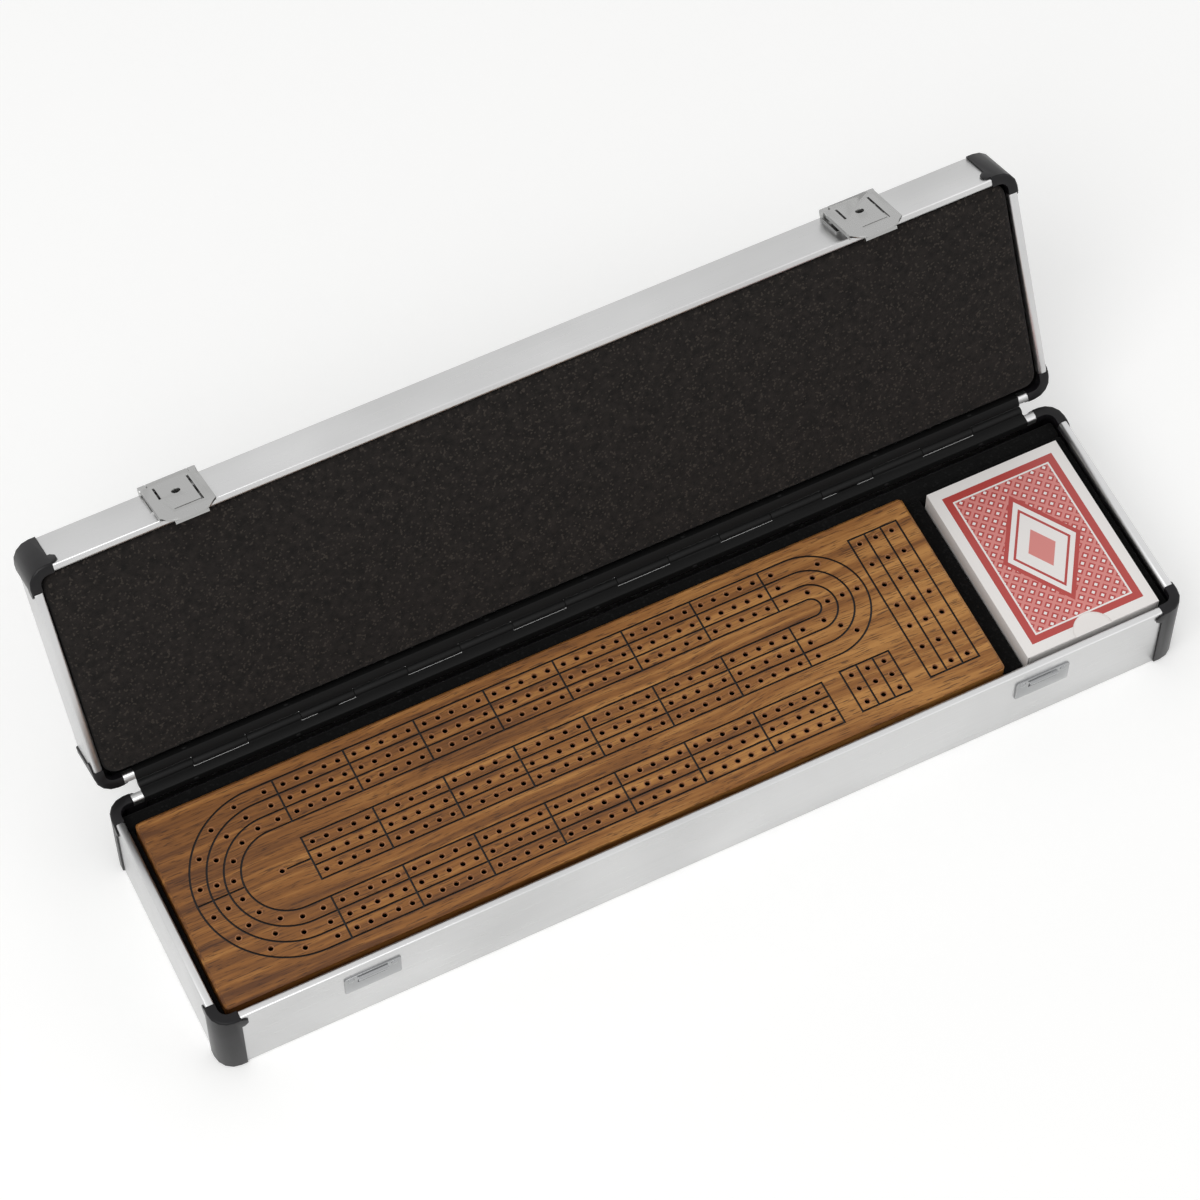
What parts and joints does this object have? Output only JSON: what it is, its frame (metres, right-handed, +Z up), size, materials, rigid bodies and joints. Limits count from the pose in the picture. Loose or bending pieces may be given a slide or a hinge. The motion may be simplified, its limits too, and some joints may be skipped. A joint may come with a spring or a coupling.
{
  "type": "cribbage set in hinged case",
  "caption": "Long aluminium case with a hinged padded lid and two lever latches, holding a walnut peg board with a peg store under a sliding cover and a carton of playing cards.",
  "frame": {"origin": "middle of the underside, on the surface the case stands on", "axes": "+X along the case to the carton's end, -Y the latch side, +Y the hinge side, +Z up"},
  "size_m": [0.4596, 0.1951, 0.1589],
  "materials": {
    "case_aluminium": "satin anodised rails",
    "panel_silver": "silver sheet with a fine grain",
    "corner_plastic": "moulded black",
    "hinge_steel": "black coated",
    "latch_nickel": "brushed nickel plate",
    "keeper_chrome": "bright plate",
    "black_foam": "dense black foam",
    "pad_foam": "charcoal foam with light flecks",
    "walnut": "oiled, open grain",
    "brass": "brushed",
    "peg_steel": "turned",
    "peg_black": "black coated",
    "carton_board": "coated, printed",
    "card_paper": "stack of cards"
  },
  "bodies": {
    "base": {"base_front_rail": "case_aluminium", "base_rear_rail": "case_aluminium", "base_left_rail": "case_aluminium", "base_right_rail": "case_aluminium", "base_front_left_corner": "corner_plastic", "base_front_right_corner": "corner_plastic", "base_rear_left_corner": "corner_plastic", "base_rear_right_corner": "corner_plastic", "base_bottom_panel": "panel_silver", "lining_floor": "black_foam", "lining_left_strip": "black_foam", "lining_right_strip": "black_foam", "lining_front_strip": "black_foam", "lining_rear_strip": "black_foam", "lining_divider": "black_foam", "base_hinge_leaf": "hinge_steel", "hinge_pin": "hinge_steel", "base_hinge_rivets": "hinge_steel", "keeper_left": "keeper_chrome", "keeper_right": "keeper_chrome", "keeper_rivets": "keeper_chrome"},
    "lid": {"lid_front_rail": "case_aluminium", "lid_rear_rail": "case_aluminium", "lid_left_rail": "case_aluminium", "lid_right_rail": "case_aluminium", "lid_front_left_corner": "corner_plastic", "lid_front_right_corner": "corner_plastic", "lid_rear_left_corner": "corner_plastic", "lid_rear_right_corner": "corner_plastic", "lid_top_panel": "panel_silver", "lid_hinge_leaf": "hinge_steel", "lid_hinge_rivets": "hinge_steel", "lid_pad": "pad_foam", "latch_plate_left": "latch_nickel", "latch_plate_right": "latch_nickel", "latch_pin_left": "latch_nickel", "latch_pin_right": "latch_nickel", "latch_rivets": "latch_nickel"},
    "latch_left": {"latch_lever_left": "latch_nickel"},
    "latch_right": {"latch_lever_right": "latch_nickel"},
    "board": {"board_playing_layer": "walnut", "board_back_layer": "walnut", "peg_cover_guides": "brass", "pegs_steel": "peg_steel", "pegs_brass": "brass", "pegs_black": "peg_black"},
    "peg_cover": {"peg_cover": "brass"},
    "card_box": {"card_carton": "carton_board", "card_carton_flap": "carton_board", "card_deck": "card_paper"}
  },
  "joints": [
    {"name": "lid_hinge", "type": "hinge", "parent": "base", "child": "lid", "pos_m": [0, 0.0603, 0.0427], "axis": [-1, 0, 0], "range_deg": [-116, 0]},
    {"name": "left_latch_lever", "type": "hinge", "parent": "lid", "child": "latch_left", "pos_m": [-0.159, 0.13289, 0.14248], "axis": [-1, 0, 0], "range_deg": [-3.3, 75]},
    {"name": "right_latch_lever", "type": "hinge", "parent": "lid", "child": "latch_right", "pos_m": [0.159, 0.13289, 0.14248], "axis": [-1, 0, 0], "range_deg": [-3.3, 75]},
    {"name": "board_lift", "type": "slide", "parent": "base", "child": "board", "axis": [0, 0, 1], "range_m": [0, 0.06]},
    {"name": "peg_cover_slide", "type": "slide", "parent": "board", "child": "peg_cover", "axis": [1, 0, 0], "range_m": [0, 0.084]},
    {"name": "card_box_lift", "type": "slide", "parent": "base", "child": "card_box", "axis": [0, 0, 1], "range_m": [0, 0.06]}
  ]
}
